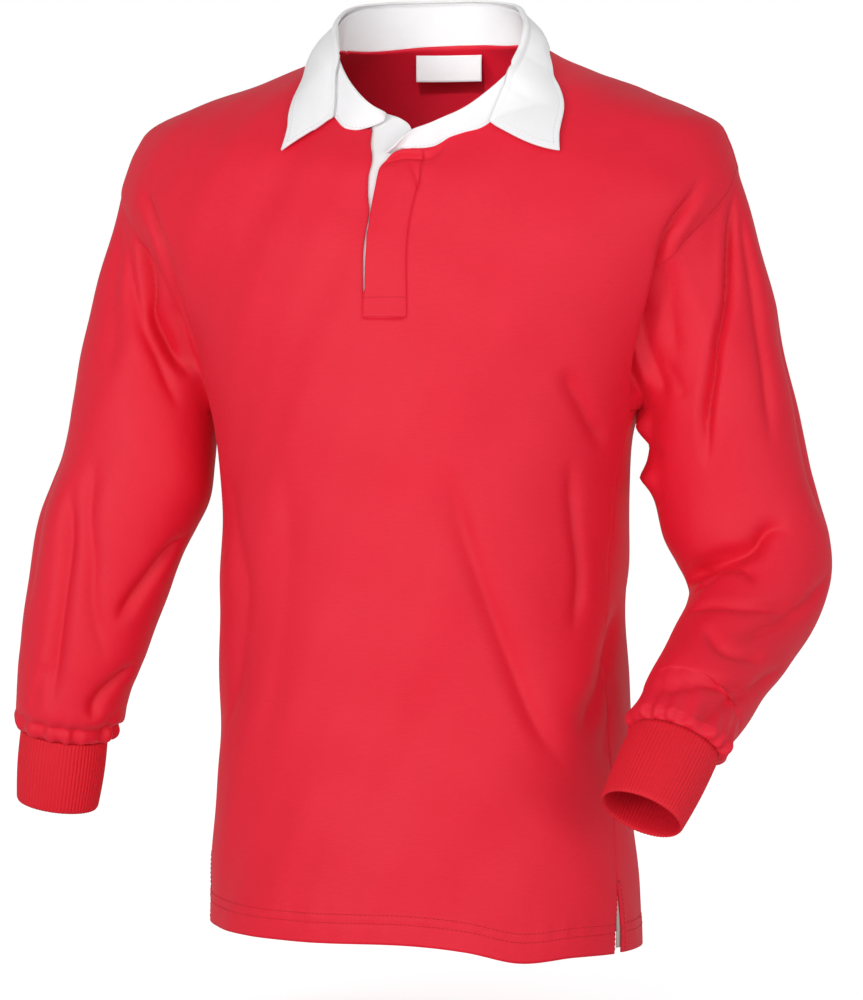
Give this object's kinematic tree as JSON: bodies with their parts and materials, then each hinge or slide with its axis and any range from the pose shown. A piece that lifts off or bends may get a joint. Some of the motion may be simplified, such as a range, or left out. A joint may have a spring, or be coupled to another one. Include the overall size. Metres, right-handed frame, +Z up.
{
  "type": "long-sleeved rugby shirt",
  "caption": "Long-sleeved rugby shirt in the form it has when worn, hollow, with a turned-down twill collar, half placket, ribbed cuffs and vented hem.",
  "frame": {"origin": "between the shoulders, at the height of the neck points of the shoulder seams, where the wearer's shoulders carry the shirt", "axes": "+Z up, the front faces -Y, +X towards the wearer's left"},
  "size_m": [0.6857, 0.3181, 0.7792],
  "materials": {
    "front": "matte knitted jersey",
    "back": "matte knitted jersey",
    "sleeve_left": "matte knitted jersey",
    "sleeve_right": "matte knitted jersey",
    "cuff_left": "matte ribbed knit",
    "cuff_right": "matte ribbed knit",
    "collar_stand": "matte cotton twill",
    "collar_leaf": "matte cotton twill",
    "placket_overlap": "matte knitted jersey",
    "placket_underlap": "matte cotton twill",
    "label": "smooth woven satin",
    "vent_tape_left": "woven cotton tape",
    "vent_tape_right": "woven cotton tape"
  },
  "bodies": {
    "root": {"front": "front", "back": "back", "sleeve_left": "sleeve_left", "sleeve_right": "sleeve_right", "cuff_left": "cuff_left", "cuff_right": "cuff_right", "collar_stand": "collar_stand", "collar_leaf": "collar_leaf", "placket_overlap": "placket_overlap", "placket_underlap": "placket_underlap", "label": "label", "vent_tape_left": "vent_tape_left", "vent_tape_right": "vent_tape_right"}
  },
  "joints": []
}
